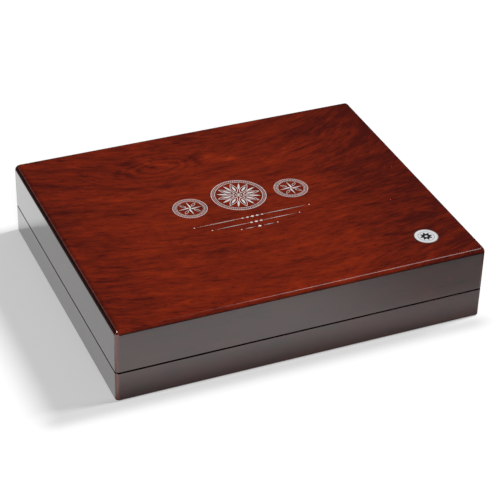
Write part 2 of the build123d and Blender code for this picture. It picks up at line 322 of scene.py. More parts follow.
# Ribbons
RIBBON_WIDTH = 6.0
RIBBON_THICK = 0.5
RIBBON_FOLD = 0.7
RIBBON_FOLD_STEPS = 6
RIBBON_LIES = 37.0
RIBBON_LIE_STEPS = 18
RIBBON_SETTLE = 0.15
RIBBON_SETTLED_BY = 1 / 3
RIBBON_WAVE = {1: 0.35, 2: 0.35, 3: 1.1}
RIBBON_CUT = 2.4
RIBBON_CUT_STEPS = 4
# Places across a ribbon, as shares of its half width, with the share of its thickness there.
RIBBON_SECTION = ((-1.0, 0.55), (-0.82, 1.0), (0.0, 1.0), (0.82, 1.0), (1.0, 0.55))

# Print on the lid. Lines and reeds lie between two depths inside a coin's edge, and the reeds
# have a number and a width as well.
PRINT_THICK = 0.05
MEDALLION_CENTRE = (2.0, 14.0)
MEDALLION_RADIUS = 22.5
MEDALLION_LINES = ((0.0, 0.55), (2.9, 3.3))
MEDALLION_REEDS = (1.1, 2.3, 84, 0.42)
COIN_RADIUS = 14.0
COIN_CENTRES = {"left": (-42.0, 9.0), "right": (46.0, 9.0)}
COIN_LINES = ((0.0, 0.45), (2.4, 2.75), (3.35, 3.55))
COIN_REEDS = (0.95, 1.9, 60, 0.38)
COIN_POINTS = 4
STAR_LENGTH = COIN_RADIUS - 4.0
STAR_WAIST = 1.6
# Petals: start, end and width.
PETAL_COUNT = 8
PETAL_STEPS = 14
PETAL_LEAN = 0.8
OPEN_PETAL = (3.4, MEDALLION_RADIUS - 4.3, 5.6)
OPEN_PETAL_LINE = 0.45
PETAL_HEART = (6.2, MEDALLION_RADIUS - 7.6, 1.9)
THIN_PETAL = (8.6, MEDALLION_RADIUS - 4.6, 1.7)
COIN_PETAL = (3.4, COIN_RADIUS - 4.4, 2.4)
COIN_PETAL_LINE = 0.3
PETAL_TIP_LINE = 2.2
EYE_RING = (2.1, 2.6)
EYE_RADIUS = 1.1
# Rules: place, half length, and diamonds to each side of the middle one.
PRINT_RULES = ((-19.0, 50.0, 2), (-27.0, 38.0, 1), (-34.0, 16.0, 0))
RULE_GAP = 3.0
RULE_HALF_HEIGHT = 0.24
RULE_DOT_INSET = 0.6
RULE_DOT_RADIUS = 0.55
DIAMOND_PITCH = 4.2
DIAMOND_HALF = (1.7, 1.25)
DIAMOND_TAPER = (0.25, 0.2)

# Mark on the badge
BADGE_DISH = 0.15
MARK_THICK = 0.04
MARK_PROUD = 0.02
MARK_PETAL = (0.9, 5.4, 2.3)
MARK_RING = (6.3, 6.6)


class Graph:
    """The node tree of a material or the world, with short calls for its nodes."""

    def __init__(self, owner):
        owner.use_nodes = True
        self.owner = owner
        self.tree = owner.node_tree

    def feed(self, socket, value):
        """Links a socket, or sets it to a number or a colour."""
        if isinstance(value, bpy.types.NodeSocket):
            self.tree.links.new(value, socket)
        elif socket.type == "RGBA":
            socket.default_value = (*value, 1.0)
        else:
            socket.default_value = value

    def node(self, kind, *values, **settings):
        """A new node with these settings, and with the values fed to its first sockets."""
        made = self.tree.nodes.new("ShaderNode" + kind)
        for name, value in settings.items():
            setattr(made, name, value)
        for socket, value in zip(made.inputs, values):
            self.feed(socket, value)
        return made

    def math(self, operation, *values):
        return self.node("Math", *values, operation=operation).outputs[0]

    def add(self, *values):
        total = values[0]
        for value in values[1:]:
            total = self.math("ADD", total, value)
        return total

    def times(self, *values):
        total = values[0]
        for value in values[1:]:
            total = self.math("MULTIPLY", total, value)
        return total

    def offset(self, value, middle, size):
        """How many sizes a value lies beyond a middle."""
        return self.times(self.add(value, -middle), 1 / size)

    def radius(self, u, v):
        return self.math("SQRT", self.add(self.times(u, u), self.times(v, v)))

    def bell(self, *offsets):
        """A share that is 1 where every offset is nothing and falls off smoothly beside it."""
        squares = self.add(*(self.times(offset, offset) for offset in offsets))
        return self.math("EXPONENT", self.times(squares, -1.0))

    def between(self, share, low, high):
        """A value that goes from a low number to a high value with a share."""
        return self.add(low, self.times(share, self.add(high, -low)))

    def spread(self, value, low, high, to_low=0.0, to_high=1.0):
        """Goes smoothly from one number to another between two limits of the value."""
        values = (value, low, high, to_low, to_high)
        return self.node("MapRange", *values, clamp=True, interpolation_type="SMOOTHSTEP").outputs[0]

    def fall(self, value, low, high):
        return self.spread(value, low, high, 1.0, 0.0)

    def vector(self, *values):
        return self.node("CombineXYZ", *values).outputs[0]

    def split(self, vector):
        return self.node("SeparateXYZ", vector).outputs[:]

    def coordinates(self, kind):
        return self.node("TexCoord").outputs[kind]

    def noise(self, place, scale=1.0, detail=2.0, roughness=0.5):
        made = self.node("TexNoise", place)
        made.inputs["Scale"].default_value = scale
        made.inputs["Detail"].default_value = detail
        made.inputs["Roughness"].default_value = roughness
        return made.outputs[0]

    def mix(self, share, a, b, blend="MIX"):
        made = self.node("Mix", share, data_type="RGBA", blend_type=blend, clamp_factor=True)
        self.feed(made.inputs[6], a)
        self.feed(made.inputs[7], b)
        return made.outputs[2]

    def ramp(self, value, *stops):
        made = self.node("ValToRGB", value)
        elements = made.color_ramp.elements
        while len(elements) < len(stops):
            elements.new(0.5)
        for element, (position, colour) in zip(elements, stops):
            element.position = position
            element.color = (*colour, 1.0)
        return made.outputs[0]

    def bump(self, height, depth, strength, under=None):
        """Bump of a depth in millimetres, on top of another bump where one is given."""
        made = self.node("Bump")
        made.inputs["Strength"].default_value = strength
        made.inputs["Distance"].default_value = depth * MM
        self.feed(made.inputs["Height"], height)
        if under is not None:
            self.feed(made.inputs["Normal"], under)
        return made.outputs[0]


class Surface(Graph):
    """A material with one Principled shader."""

    def __init__(self, name, **plain):
        super().__init__(bpy.data.materials.new(name))
        self.shader = self.tree.nodes["Principled BSDF"]
        for socket, value in plain.items():
            self.put(socket.replace("_", " "), value)

    def put(self, socket, value):
        self.feed(self.shader.inputs[socket], value)


def grain_places(g, along_y=False):
    """Object coordinates in millimetres, as along, across and depth."""
    x, y, z = (g.times(value, 1 / MM) for value in g.split(g.coordinates("Object")))
    return (y, x, z) if along_y else (x, y, z)


def stretched_noise(g, along, across, depth, size, detail=2.0, roughness=0.55):
    """Noise whose blots are so long along the grain and so wide across it."""
    length, width = size
    place = g.vector(g.times(along, 1 / length), g.times(across, 1 / width), g.times(depth, 1 / width))
    return g.noise(place, detail=detail, roughness=roughness)


def centred(g, value, weight):
    return g.times(g.add(value, -0.5), weight)


# Wood


def hill(g, along, across, middle, size):
    """A share that is 1 at the middle of an ellipse and falls off smoothly around it."""
    return g.bell(g.offset(along, middle[0], size[0]), g.offset(across, middle[1], size[1]))


def stroke(g, along, across, start, end, width):
    """A share that is 1 along a straight line on the lid and falls off beside it and at its ends."""
    run = Vector(end) - Vector(start)
    length = run.length
    run.normalize()
    u, v = g.add(along, -start[0]), g.add(across, -start[1])
    forward = g.add(g.times(u, run.x), g.times(v, run.y))
    beside = g.times(g.add(g.times(u, -run.y), g.times(v, run.x)), 1 / width)
    begins = g.spread(forward, 0.0, length * STREAK_ENDS)
    ends = g.fall(forward, length * (1 - STREAK_ENDS), length)
    return g.times(g.bell(beside), begins, ends)


def flowing_lines(g, along, across):
    """Place across the grain, bent into the flow of the lid's veneer."""
    offset = g.offset(along, BOW_MIDDLE, BOW_REACH)
    place = g.math("MINIMUM", across, BOW_BACK)
    growth = g.times(place, g.add(BOW_GROWTH, g.times(place, BOW_QUICKENING)))
    drop = g.add(BOW_DROP, g.times(growth, g.spread(along, *BOW_LEFT, BOW_LEFT_SHARE, 1.0)))
    flow = g.add(across, g.times(offset, offset, drop, -1.0))
    return g.add(flow, g.times(hill(g, along, across, KNOT_PLACE, KNOT_SIZE), KNOT_HEIGHT))


def knot_rings(g, along, across, bent):
    """Lighter and darker year rings round the knot, as an amount of lightness."""
    u = g.offset(along, KNOT_PLACE[0], KNOT_RING_SIZE[0])
    v = g.offset(across, KNOT_PLACE[1], KNOT_RING_SIZE[1])
    wobble = centred(g, stretched_noise(g, along, bent, 0.0, KNOT_WOBBLE_SIZE), KNOT_WOBBLE)
    out = g.add(g.radius(u, v), wobble)
    rings = (g.times(g.bell(g.offset(out, middle, width)), weight) for middle, width, weight in KNOT_RINGS)
    return g.add(*rings)


def placed_figure(g, along, across, bent, fibres):
    """The parts of the figure that have their place on the lid's panel, as amounts of lightness."""
    parts = [g.times(hill(g, along, across, middle, size), weight) for middle, size, weight in WOOD_PATCHES]
    for start, end, width, weight in WOOD_STREAKS:
        streak = stroke(g, along, across, start, end, width)
        parts.append(g.times(streak, weight, g.add(fibres, STREAK_GROUND)))
    parts.append(g.times(knot_rings(g, along, across, bent), g.add(fibres, KNOT_GROUND)))
    parts.append(g.spread(along, *LEFT_END, LEFT_END_SHADE, 0.0))
    parts.append(g.spread(along, *RIGHT_END, 0.0, RIGHT_END_SHADE))
    return parts


def wood_value(g, along, across, depth, warp):
    """Lightness of the wood's figure from 0 to 1, its fibres, its pores and the warped place across."""
    slow, quick = (stretched_noise(g, along, across, depth, size) for size in WARP_SIZES)
    bent = g.add(across, centred(g, slow, warp), centred(g, quick, warp * QUICK_WARP_SHARE))
    fibres = stretched_noise(g, along, bent, depth, FIBRE_SIZE, roughness=0.6)
    pores = stretched_noise(g, along, bent, depth, PORE_SIZE, detail=1.0)
    value = g.add(WOOD_MEAN, centred(g, fibres, FIBRE_WEIGHT))
    for size, weight in WOOD_LAYERS:
        value = g.add(value, centred(g, stretched_noise(g, along, bent, depth, size), weight))
    return value, fibres, pores, bent


def side_share(g, nx, upright, panel):
    """How far a face takes the painted shade of the sides, by its normal. The right corners take it in full.
    """
    share = g.spread(upright, *SIDE_LIMITS, CORNER_SIDE_SHARE, 1.0)
    share = g.math("MAXIMUM", share, g.spread(nx, *RIGHT_CORNER_LIMITS))
    return g.times(share, g.spread(upright, *PANEL_SIDE_LIMITS)) if panel else share


def edge_share(g, nx, ny, upright):
    """How far a face of the panel lies on the rounded edge at its left, right and back, where painted shade
    darkens it.
    """
    turned = g.math("MAXIMUM", g.math("ABSOLUTE", nx), ny)
    return g.times(g.spread(turned, *EDGE_LIMITS), g.fall(upright, *EDGE_END_LIMITS))


def painted_seam_shade(g):
    """Painted shade on a board's rim, darker along the case's outside, where the seam shows it."""
    x, y, _ = grain_places(g)
    inward = [g.add(half, g.times(g.math("ABSOLUTE", place), -1.0)) for half, place in zip(CASE_HALF, (x, y))]
    return g.mix(g.spread(g.math("MINIMUM", *inward), *SEAM_SHADE_DEPTH), SEAM_PAINTED_SHADE, RIM_PAINTED_SHADE)


def lacquered_mahogany(name, along_y=False, panel=False):
    """High-gloss veneer. Only the lid's panel has the bow, the knot and the other placed parts."""
    g = Surface(name, Roughness=0.16, IOR=1.5, Coat_Weight=1.0, Coat_Roughness=0.015, Coat_IOR=1.55)
    along, across, depth = grain_places(g, along_y)
    shaped = flowing_lines(g, along, across) if panel else across
    value, fibres, pores, bent = wood_value(g, along, shaped, depth, PANEL_WARP if panel else BOARD_WARP)
    value = g.add(value, LACQUER_LIFT)
    for size, detail, roughness, limits, weight in GRAIN_MARKS:
        marks = stretched_noise(g, along, bent, depth, size, detail=detail, roughness=roughness)
        value = g.add(value, g.times(g.spread(marks, *limits), weight))
    if panel:
        value = g.add(value, *placed_figure(g, along, across, bent, fibres))
    colour = g.ramp(value, *WOOD_COLOURS)
    colour = g.mix(g.times(g.spread(pores, *PORE_LIMITS), PORE_SHARE), colour, PORE_COLOUR)
    nx, ny, nz = g.split(g.coordinates("Normal"))
    upright = g.math("MAXIMUM", g.math("ABSOLUTE", nx), g.math("ABSOLUTE", ny))
    # Painted shade: the upright faces darker than the top, the right corners most.
    colour = g.mix(side_share(g, nx, upright, panel), colour, SIDE_PAINTED_SHADE, blend="MULTIPLY")
    if panel:
        # Painted shade on the panel's rounded edges.
        colour = g.mix(edge_share(g, nx, ny, upright), colour, EDGE_PAINTED_SHADE, blend="MULTIPLY")
    else:
        # Painted shade on the boards' level rims, darkest in the seam along the case's outside.
        rim = g.spread(g.math("ABSOLUTE", nz), *RIM_LIMITS)
        colour = g.mix(rim, colour, painted_seam_shade(g), blend="MULTIPLY")
    g.put("Base Color", colour)
    g.put("Normal", g.bump(g.add(fibres, g.times(pores, -PORE_DIP)), *LACQUER_BUMP))
    return g.owner


def tray_mahogany(name):
    """Satin lacquered strips, with the grain along each strip of a tray's rim."""
    g = Surface(name, Coat_Weight=0.35, Coat_Roughness=0.22)
    x, y, z = grain_places(g)
    corner = node_box("tray_1_rim")[1]
    past_x = g.add(g.math("ABSOLUTE", x), -corner.x)
    past_y = g.add(g.math("ABSOLUTE", y), -corner.y)
    at_side = g.math("GREATER_THAN", past_x, past_y)
    swap = g.times(g.add(y, g.times(x, -1.0)), at_side)
    along = g.add(x, swap)
    across = g.add(y, g.times(swap, -1.0))
    value, fibres, pores, _ = wood_value(g, along, across, z, TRAY_WARP)
    colour = g.ramp(value, *WOOD_COLOURS)
    colour = g.mix(g.times(g.spread(pores, *TRAY_PORE_LIMITS), TRAY_PORE_SHARE), colour, PORE_COLOUR)
    g.put("Base Color", g.mix(1.0, colour, TRAY_STAIN, blend="MULTIPLY"))
    g.put("Roughness", g.spread(pores, *TRAY_ROUGHNESS))
    g.put("Normal", g.bump(g.add(fibres, g.times(pores, -TRAY_PORE_DIP)), *TRAY_BUMP))
    return g.owner


def plywood(name, cloth_on_top):
    """Birch plywood with its plies on the edges, and with pile cloth where a tray's recesses show it."""
    g = Surface(name)
    x, y, z = grain_places(g)
    figure = stretched_noise(g, x, y, z, PLY_FIGURE_SIZE, detail=3.0)
    fibres = stretched_noise(g, x, y, z, PLY_FIBRE_SIZE)
    tone = g.add(g.times(figure, PLY_FIGURE_SHARE), g.times(fibres, 1 - PLY_FIGURE_SHARE))
    ply = g.math("SINE", g.times(z, 2 * math.pi / PLY_PAIR))
    plies = g.mix(g.spread(ply, -PLY_SOFTNESS, PLY_SOFTNESS), PLY_DARK, PLY_LIGHT)
    nz = g.split(g.coordinates("Normal"))[2]
    edge = g.fall(g.math("ABSOLUTE", nz), *PLY_EDGE_LIMITS)
    colour = g.mix(edge, g.ramp(tone, *PLY_COLOURS), plies)
    rough = PLY_ROUGHNESS
    height = fibres
    if cloth_on_top:
        top = g.spread(nz, *PLY_CLOTH_LIMITS)
        cloth_colour, pile = pile_colour(g, x, y, z, VELOUR_DEEP, VELOUR_LIGHT)
        colour = g.mix(top, colour, cloth_colour)
        rough = g.spread(top, 0.0, 1.0, PLY_ROUGHNESS, PILE_ROUGHNESS)
        height = g.add(fibres, g.times(top, g.add(pile, g.times(fibres, -1.0))))
    g.put("Base Color", colour)
    g.put("Roughness", rough)
    g.put("Normal", g.bump(height, *PLY_BUMP))
    return g.owner


# Cloth, metal and ink


def pile_colour(g, x, y, z, deep, light):
    """Colour of a brushed pile, with the height of its tufts."""
    place = g.vector(x, y, z)
    nap = g.noise(place, scale=NAP_SCALE, detail=3.0, roughness=0.6)
    brushed = stretched_noise(g, x, y, z, BRUSHED_SIZE)
    tufts = g.noise(place, scale=TUFT_SCALE, roughness=0.7)
    tone = PILE_SHADE
    for layer, (limits, weight) in zip((nap, brushed, tufts), PILE_TONES):
        tone = g.add(tone, g.times(g.spread(layer, *limits), weight))
    return g.mix(tone, deep, light), tufts


def pile_cloth(name, deep, light, sheen, tint):
    g = Surface(name, Roughness=PILE_ROUGHNESS, Specular_IOR_Level=0.2, Sheen_Roughness=0.35)
    g.put("Sheen Weight", sheen)
    g.put("Sheen Tint", tint)
    x, y, z = grain_places(g)
    colour, tufts = pile_colour(g, x, y, z, deep, light)
    g.put("Base Color", colour)
    g.put("Normal", g.bump(tufts, *PILE_BUMP))
    return g.owner


def woven_satin(name, dark, light, thread, ribs=None, gathered=False):
    """Satin of long floating threads, with ribs across a ribbon or small folds along the pad's edges."""
    g = Surface(name, Specular_IOR_Level=0.55, Sheen_Weight=0.25, Sheen_Roughness=0.4, Sheen_Tint=light)
    x, y, z = grain_places(g)
    along = g.times(x, 1 / (thread * FLOAT_THREADS))
    threads = g.noise(g.vector(along, g.times(y, 1 / thread), g.times(z, THREAD_DEPTH_SCALE)))
    soft = g.noise(g.vector(x, y, z), scale=SOFT_SCALE)
    slubs = stretched_noise(g, x, y, z, [thread * count for count in SLUB_THREADS])
    parts = (g.times(layer, weight) for layer, weight in zip((threads, soft, slubs), SATIN_WEIGHTS))
    tone = g.add(*parts, SATIN_SHADE)
    g.put("Base Color", g.mix(g.spread(tone, *SATIN_TONES), dark, light))
    g.put("Roughness", g.spread(threads, *SATIN_ROUGHNESS))
    height = threads
    if ribs:
        rib = g.math("SINE", g.times(x, 2 * math.pi / ribs))
        height = g.times(g.add(threads, rib), 0.5)
    folds = gathered_folds(g, x, y) if gathered else None
    g.put("Normal", g.bump(height, *WEAVE_BUMP, under=folds))
    return g.owner


def gathered_folds(g, x, y):
    """Bump of the finest creases, where the pad's satin is tucked under along its edges."""
    low, high = pad_box()
    middle, half = (low + high) / 2, (high - low) / 2
    u, v = g.add(x, -middle.x), g.add(y, -middle.y)
    folds = []
    for inward, beside, reach in ((u, v, half.x), (v, u, half.y)):
        near_edge = g.spread(g.math("ABSOLUTE", inward), reach - PAD_GATHERS, reach)
        folds.append(g.times(stretched_noise(g, inward, beside, 0.0, GATHER_SIZE, detail=1.0), near_edge))
    return g.bump(g.add(*folds), *GATHER_BUMP)


def worn_metal(name, colour, dull, roughness, metallic):
    """Metal with fine brushing and slightly dull places."""
    g = Surface(name, Metallic=metallic)
    x, y, z = grain_places(g)
    tarnish = g.noise(g.vector(x, y, z), scale=TARNISH_SCALE, detail=4.0, roughness=0.65)
    lines = stretched_noise(g, x, y, z, BRUSHING_SIZE)
    spots = g.spread(tarnish, *TARNISH_LIMITS)
    g.put("Base Color", g.mix(g.times(spots, TARNISH_SHARE), colour, dull))
    rougher = g.add(g.times(lines, BRUSHING_ROUGHNESS), g.times(spots, TARNISH_ROUGHNESS))
    g.put("Roughness", g.add(rougher, roughness))
    g.put("Normal", g.bump(lines, *METAL_BUMP))
    return g.owner


def spun_silver(name, centre):
    """The badge's face, turned on a lathe, with faint circles about its centre and painted shade on its rim.
    """
    g = Surface(name, Metallic=0.15)
    x, y, z = grain_places(g)
    radius = g.radius(g.add(x, -centre.x), g.add(y, -centre.y))
    circles = g.noise(g.vector(g.times(radius, SILVER_CIRCLE_SCALE)))
    cloud = g.noise(g.vector(x, y, z), scale=SILVER_CLOUD_SCALE, detail=3.0)
    tone = g.add(g.times(circles, SILVER_CIRCLE_SHARE), g.times(cloud, 1 - SILVER_CIRCLE_SHARE))
    face = g.mix(tone, SILVER_DARK, SILVER_LIGHT)
    # Painted shade round the rim.
    g.put("Base Color", g.mix(g.spread(radius, *BADGE_RIM), face, BADGE_RIM_PAINTED_SHADE))
    g.put("Roughness", g.spread(tone, *SILVER_ROUGHNESS))
    g.put("Normal", g.bump(circles, *SILVER_BUMP))
    return g.owner


def printing_ink(name, colour, thin, roughness):
    """Screen print, a little uneven in its cover and between two roughnesses."""
    g = Surface(name)
    place = g.vector(*grain_places(g))
    cover = g.noise(place, scale=INK_COVER_SCALE, detail=3.0, roughness=0.6)
    mesh = g.noise(place, scale=INK_MESH_SCALE, detail=1.0)
    g.put("Base Color", g.mix(g.spread(cover, *INK_COVER_LIMITS), thin, colour))
    g.put("Roughness", g.spread(mesh, *INK_MESH_LIMITS, *roughness))
    g.put("Normal", g.bump(mesh, *INK_BUMP))
    return g.owner


def dress(material, *names):
    """Gives CAD nodes a material."""
    for name in names:
        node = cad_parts[name]
        node.data.materials.clear()
        node.data.materials.append(material)


# Pieces


def add_piece(name, mesh, body, material, stands_for=()):
    """Puts a new piece on a body, in place of the CAD nodes that it stands for."""
    made = bpy.data.objects.new(name, mesh)
    bpy.context.scene.collection.objects.link(made)
    mesh.materials.append(material)
    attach(made, body)
    if stands_for:
        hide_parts(*stands_for)
    return made


def finished_mesh(name, bm, smooth=False):
    """Turns a mesh drawn in millimetres into one in metres."""
    mesh = bpy.data.meshes.new(name)
    for vertex in bm.verts:
        vertex.co *= MM
    bm.to_mesh(mesh)
    bm.free()
    if smooth:
        for polygon in mesh.polygons:
            polygon.use_smooth = True
    return mesh


def apply_modifiers(made):
    """Turns a piece's modifiers into plain mesh."""
    bpy.context.view_layer.update()
    seen = made.evaluated_get(bpy.context.evaluated_depsgraph_get())
    mesh = bpy.data.meshes.new_from_object(seen)
    made.modifiers.clear()
    made.data = mesh


def node_box(name):
    """Lowest and highest corner of a CAD node, in millimetres."""
    low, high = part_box(name)
    return low / MM, high / MM


def smoothstep(value):
    value = min(max(value, 0.0), 1.0)
    return value * value * (3.0 - 2.0 * value)


def join_loops(bm, first, second):
    """Closes the band between two rings of vertices."""
    for step in range(len(first)):
        following = (step + 1) % len(first)
        bm.faces.new((first[following], first[step], second[step], second[following]))


# Linings and pad


def lining(node, body, material):
    """A sheet of pile cloth with rounded edges, in the place of its CAD node."""
    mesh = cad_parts[node].data.copy()
    mesh.materials.clear()
    made = add_piece(node + "_cloth", mesh, body, material, (node,))
    rounding = made.modifiers.new("rounded edges", "BEVEL")
    rounding.width = LINING_ROUND * MM
    rounding.segments = 3
    rounding.limit_method = "ANGLE"
    apply_modifiers(made)


def pad_box():
    """The pad's place, grown sideways until it all but meets the linings."""
    low, high = node_box("lid_pad")
    growth = Vector((PAD_SIDE_GROWTH, PAD_SIDE_GROWTH, 0.0))
    return low - growth, high + growth


def even_places(start, span, count):
    return [start + span * step / count for step in range(count + 1)]


def rim_of(grid):
    """The outermost vertices of a grid, in order round it."""
    front, back = grid[0][:-1], grid[-1][:0:-1]
    right, left = [row[-1] for row in grid[:-1]], [row[0] for row in grid[:0:-1]]
    return front + right + back + left


def pad_cover(low, high):
    """The cover before it is blown up: first its back against the lid, then its face, and a rim between.

    The simulation answers to the order of the faces too, so a change there changes the pad's shape.
    """
    bm = bmesh.new()
    room = PAD_SIDE_ROOM
    columns = even_places(low.x + room, high.x - low.x - 2 * room, PAD_COLUMNS)
    rows = even_places(low.y + room, high.y - low.y - 2 * room, PAD_ROWS)
    back, face = (
        [[bm.verts.new((x, y, z)) for x in columns] for y in rows] for z in (high.z, low.z + PAD_PUFF)
    )
    for row in range(PAD_ROWS):
        for column in range(PAD_COLUMNS):
            corners = ((row, column), (row, column + 1), (row + 1, column + 1), (row + 1, column))
            bm.faces.new([back[i][j] for i, j in corners])
            bm.faces.new([face[i][j] for i, j in reversed(corners)])
    join_loops(bm, rim_of(back), rim_of(face))
    bmesh.ops.recalc_face_normals(bm, faces=bm.faces)
    return finished_mesh("lid_pad_satin", bm, smooth=True)


def make_pad(material):
    """The satin pad under the lid: a cloth cover blown up over its board, held round the edge."""
    low, high = pad_box()
    made = add_piece("lid_pad_satin", pad_cover(low, high), "lid", material, ("lid_pad",))
    held = made.vertex_groups.new(name="held")
    held.add(range((PAD_ROWS + 1) * (PAD_COLUMNS + 1)), 1.0, "REPLACE")
    shape_pad(made, low, high)
    smoother = made.modifiers.new("smoother", "SUBSURF")
    smoother.levels = smoother.render_levels = 1
    apply_modifiers(made)
    gather_pad(made, low, high)


def shape_pad(made, low, high):
    rest = [vertex.co / MM for vertex in made.data.vertices]
    blow_up(made)
    blown = [vertex.co / MM for vertex in made.data.vertices]
    lowest = min(place.z for place in blown)
    for vertex, before, after in zip(made.data.vertices, rest, blown):
        if before.z > (low.z + high.z) / 2:
            vertex.co = before * MM
            continue
        drop = (before.z - after.z) / (before.z - lowest) * PAD_PUFF
        after.x = min(max(after.x, low.x), high.x)
        after.y = min(max(after.y, low.y), high.y)
        vertex.co = Vector((after.x, after.y, before.z - drop)) * MM


def blow_up(made):
    """Runs the cloth simulation and keeps its result."""
    cloth = made.modifiers.new("cover", "CLOTH")
    settings = cloth.settings
    settings.quality = 6
    settings.mass = 0.15
    settings.tension_stiffness = 25.0
    settings.compression_stiffness = 25.0
    settings.shear_stiffness = 8.0
    settings.bending_stiffness = 0.05
    settings.shrink_min = -PAD_EXTRA_CLOTH
    settings.vertex_group_mass = "held"
    settings.use_pressure = True
    settings.uniform_pressure_force = 4.0
    settings.effector_weights.gravity = 0.0
    cloth.collision_settings.use_collision = False
    cloth.collision_settings.use_self_collision = False
    scene = bpy.context.scene
    cloth.point_cache.frame_start = 1
    cloth.point_cache.frame_end = PAD_FRAMES
    for step in range(1, PAD_FRAMES + 1):
        scene.frame_set(step)
    apply_modifiers(made)
    scene.frame_set(1)


def fold_height(place):
    """How far a gathered edge is drawn in at a place along it."""
    return sum(weight * (1 + math.sin(2 * math.pi * place / length)) / 2 for length, weight in PAD_FOLDS)


def gather_pad(made, low, high):
    """Draws the cover into small folds that run in from its edges."""
    for vertex in made.data.vertices:
        place = vertex.co / MM
        if place.z > high.z - PAD_BACK_EDGE:
            continue
        from_side = min(place.x - low.x, high.x - place.x)
        from_front = min(place.y - low.y, high.y - place.y)
        side = fold_height(place.y) * smoothstep(1 - from_side / PAD_GATHERS)
        front = fold_height(place.x) * smoothstep(1 - from_front / PAD_GATHERS)
        vertex.co.z += max(side, front) * MM


# Ribbons


def ribbon_route(side, low, high, wave):
    """Middle line of a ribbon: up between rim and insert, over the insert's edge and inwards on it."""
    inward = -side
    start = side * high.x + inward * RIBBON_THICK / 2
    level = high.z - RIBBON_THICK / 2
    route = [(start, low.z + RIBBON_THICK), (start, high.z - RIBBON_FOLD)]
    for step in range(1, RIBBON_FOLD_STEPS + 1):
        angle = step / RIBBON_FOLD_STEPS * math.pi / 2
        x = start + inward * RIBBON_FOLD * (1 - math.cos(angle))
        route.append((x, level - RIBBON_FOLD * (1 - math.sin(angle))))
    over_edge = route[-1][0]
    for step in range(1, RIBBON_LIE_STEPS + 1):
        share = step / RIBBON_LIE_STEPS
        lift = wave * math.sin(share * math.pi) ** 2
        settled = RIBBON_SETTLE * smoothstep(share / RIBBON_SETTLED_BY)
        route.append((over_edge + inward * RIBBON_LIES * share, level - settled + lift))
    return route


def ribbon_section(route, place):
    """Corners of a ribbon's section at a place of its route, whose end is cut at a slant."""
    x, z = route[place]
    last = len(route) - 1
    before, after = route[max(place - 1, 0)], route[min(place + 1, last)]
    run = (Vector(after) - Vector(before)).normalized()
    normal = Vector((-run.y, run.x)) * RIBBON_THICK / 2
    cut = RIBBON_CUT * smoothstep(1 - (last - place) / RIBBON_CUT_STEPS)
    corners = []
    for up, section in ((1, RIBBON_SECTION), (-1, RIBBON_SECTION[::-1])):
        for share, thin in section:
            off = normal * up * thin
            corners.append((x + off.x + cut * share, share * RIBBON_WIDTH / 2, z + off.y))
    return corners


def make_ribbons(tray, material):
    """Two lifting ribbons of a tray, one at each end."""
    node = f"tray_{tray}_ribbons"
    low, high = node_box(node)
    for side, side_name, stands_for in ((-1, "left", (node,)), (1, "right", ())):
        route = ribbon_route(side, low, high, RIBBON_WAVE[tray])
        bm = bmesh.new()
        sections = (ribbon_section(route, place) for place in range(len(route)))
        rows = [[bm.verts.new(corner) for corner in section] for section in sections]
        for near, far in zip(rows, rows[1:]):
            join_loops(bm, near, far)
        bm.faces.new(rows[0][::-1])
        bm.faces.new(rows[-1])
        bmesh.ops.recalc_face_normals(bm, faces=bm.faces)
        name = f"tray_{tray}_{side_name}_ribbon"
        add_piece(name, finished_mesh(name, bm, smooth=True), "base", material, stands_for)


# Print on the lid


def turns(count):
    """Even steps round a full turn."""
    return [2 * math.pi * step / count for step in range(count)]


def circle(radius, count):
    return [(radius * math.cos(turn), radius * math.sin(turn)) for turn in turns(count)]


def diamond(half_length, half_height):
    return [(-half_length, 0.0), (0.0, -half_height), (half_length, 0.0), (0.0, half_height)]


def petal(start, end, width):
    """Outline of a pointed petal that runs outwards along x."""
    shares = even_places(0.0, 1.0, PETAL_STEPS)
    upper = [
        (start + (end - start) * share, width / 2 * math.sin(math.pi * share**PETAL_LEAN)) for share in shares
    ]
    lower = [(x, -y) for x, y in upper[1:-1]]
    return upper + lower[::-1]


def placed(bm, centre, turn, points):
    """Vertices of a flat outline, turned about its own origin and then moved to its centre."""
    cosine, sine = math.cos(turn), math.sin(turn)
    return [
        bm.verts.new((centre[0] + x * cosine - y * sine, centre[1] + x * sine + y * cosine, 0.0))
        for x, y in points
    ]


def add_shape(bm, centre, turn, points):
    bm.faces.new(placed(bm, centre, turn, points))


def add_disc(bm, centre, radius, count):
    add_shape(bm, centre, 0.0, circle(radius, count))


def add_ring(bm, centre, inner, outer, count=96):
    join_loops(bm, *(placed(bm, centre, 0.0, circle(radius, count)) for radius in (inner, outer)))


def add_petal_line(bm, centre, turn, outline, line):
    """A petal drawn as a line."""
    start, end, width = outline
    inner = petal(start + line * PETAL_TIP_LINE, end - line * PETAL_TIP_LINE, width - 2 * line)
    join_loops(bm, *(placed(bm, centre, turn, points) for points in (petal(*outline), inner)))


def add_coin_edge(bm, centre, radius, lines, reeds):
    """Round lines and short reeds inside a coin's edge."""
    for outer, inner in lines:
        add_ring(bm, centre, radius - inner, radius - outer)
    outer, inner, count, width = reeds
    ends = ((inner, -width / 2), (outer, -width / 2), (outer, width / 2), (inner, width / 2))
    reed = [(radius - depth, beside) for depth, beside in ends]
    for turn in turns(count):
        add_shape(bm, centre, turn, reed)


def printed(name, bm, material, level, thick):
    """A thin layer from flat shapes, with its top at a level."""
    bmesh.ops.recalc_face_normals(bm, faces=bm.faces)
    for face in bm.faces:
        if face.normal.z < 0:
            face.normal_flip()
    for vertex in bm.verts:
        vertex.co.z = level
    made = add_piece(name, finished_mesh(name, bm), "lid", material)
    body = made.modifiers.new("thickness", "SOLIDIFY")
    body.thickness = thick * MM
    body.offset = -1.0
    apply_modifiers(made)


